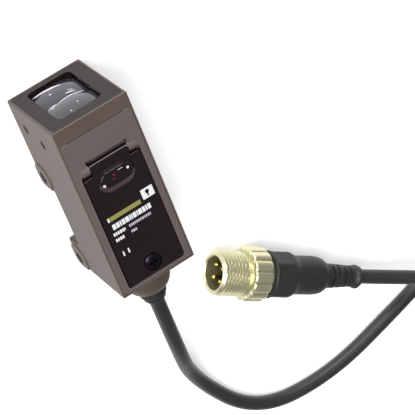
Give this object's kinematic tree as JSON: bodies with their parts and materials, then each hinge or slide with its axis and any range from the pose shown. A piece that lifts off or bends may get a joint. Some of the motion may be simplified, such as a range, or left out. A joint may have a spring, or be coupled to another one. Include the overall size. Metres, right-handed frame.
{
  "type": "photoelectric sensor",
  "caption": "Compact metal photoelectric sensor with a windowed lens end, hinged adjuster door, side mounting holes, and a short lead ending in a round screw plug.",
  "frame": {"origin": "on the flat back face, in the middle of its head lug, 12.5 mm behind the lens end", "axes": "+X across the label to the right, +Y towards the lens end, +Z out of the label face; the sensor lies on its back"},
  "size_m": [0.1451, 0.1478, 0.0272],
  "materials": {
    "housing_enamel": "satin grey-brown enamel on a zinc die casting",
    "cover_enamel": "satin grey-brown enamel, as the housing",
    "smoked_window": "polished smoke-grey acrylic",
    "clear_lens": "clear moulded acrylic with a faint violet cast",
    "smoked_door": "glossy dark smoked polycarbonate",
    "black_rubber": "matte black nitrile rubber",
    "optics_black": "matte black moulded plastic",
    "board_green": "green solder mask",
    "chip_black": "matte black epoxy package",
    "emitter_epoxy": "clear red-tinted epoxy",
    "receiver_epoxy": "dark infrared-passing epoxy",
    "tinned_steel": "bright tin plate",
    "zinc_screws": "bright zinc-plated steel",
    "black_screw": "black-oxide steel",
    "plain_brass": "machined brass",
    "chromated_brass": "pale yellow nickel-brass, machined",
    "gold_contacts": "gold flash on brass",
    "knob_white": "white moulded nylon",
    "switch_grey": "dark grey moulded plastic",
    "red_light": "red-tinted light pipe",
    "green_light": "green-tinted light pipe",
    "aluminium_can": "drawn aluminium can",
    "cable_jacket": "dark grey PVC jacket, slightly glossy",
    "overmould_black": "matte black moulded polyurethane",
    "neck_grey": "dark grey moulded insert",
    "wire_brown": "brown wire insulation",
    "wire_blue": "blue wire insulation",
    "wire_black": "black wire insulation"
  },
  "bodies": {
    "sensor": {"board_link": "optics_black", "cable": "cable_jacket", "cable_clamp": "tinned_steel", "cable_grommet": "black_rubber", "cable_tail": "cable_jacket", "capacitor_1": "aluminium_can", "capacitor_2": "aluminium_can", "contact_carrier": "optics_black", "contact_pin_1": "gold_contacts", "contact_pin_2": "gold_contacts", "contact_pin_3": "gold_contacts", "contact_pin_4": "gold_contacts", "cover_plate": "cover_enamel", "cover_screw_1": "zinc_screws", "cover_screw_2": "zinc_screws", "cover_screw_3": "zinc_screws", "cover_screw_4": "zinc_screws", "cover_seal": "black_rubber", "door_seal": "black_rubber", "emitter": "emitter_epoxy", "green_indicator": "green_light", "hinge_pin_left": "zinc_screws", "hinge_pin_right": "zinc_screws", "housing": "housing_enamel", "inductor": "chip_black", "lens_block": "clear_lens", "main_board": "board_green", "mode_switch": "switch_grey", "optics_board": "board_green", "optics_holder": "optics_black", "output_transistor": "chip_black", "plug_body": "overmould_black", "plug_neck": "neck_grey", "plug_oring": "black_rubber", "potentiometer": "switch_grey", "receiver": "receiver_epoxy", "receiver_shield": "tinned_steel", "red_indicator": "red_light", "screw_insert": "plain_brass", "signal_chip": "chip_black", "strain_relief": "overmould_black", "voltage_regulator": "chip_black", "window": "smoked_window", "window_seal": "black_rubber", "wire_black": "wire_black", "wire_blue": "wire_blue", "wire_brown": "wire_brown"},
    "lid": {"door": "smoked_door"},
    "lid_screw": {"door_screw": "black_screw", "screw_clip": "optics_black"},
    "sensitivity_dial": {"sensitivity_knob": "knob_white"},
    "mode_dial": {"mode_knob": "knob_white"},
    "plug_ring": {"coupling_ring": "chromated_brass"}
  },
  "joints": [
    {"name": "door_hinge", "type": "hinge", "parent": "sensor", "child": "lid", "pos_m": [0, -0.0009, 0.0253], "axis": [-1, 0, 0], "range_deg": [0, 110]},
    {"name": "door_screw_turn", "type": "hinge", "parent": "lid", "child": "lid_screw", "pos_m": [0, -0.0323, 0.0257], "axis": [0, 0, 1], "continuous": true},
    {"name": "sensitivity_turn", "type": "hinge", "parent": "sensor", "child": "sensitivity_dial", "pos_m": [-0.0026, -0.006, 0.025], "axis": [0, 0, 1], "range_deg": [-135, 135]},
    {"name": "mode_turn", "type": "hinge", "parent": "sensor", "child": "mode_dial", "pos_m": [0.0026, -0.006, 0.025], "axis": [0, 0, 1], "range_deg": [0, 120]},
    {"name": "coupling_ring_spin", "type": "hinge", "parent": "sensor", "child": "plug_ring", "pos_m": [0.0286, -0.06443, 0.0073], "axis": [0.8192, -0.5736, 0], "continuous": true}
  ]
}
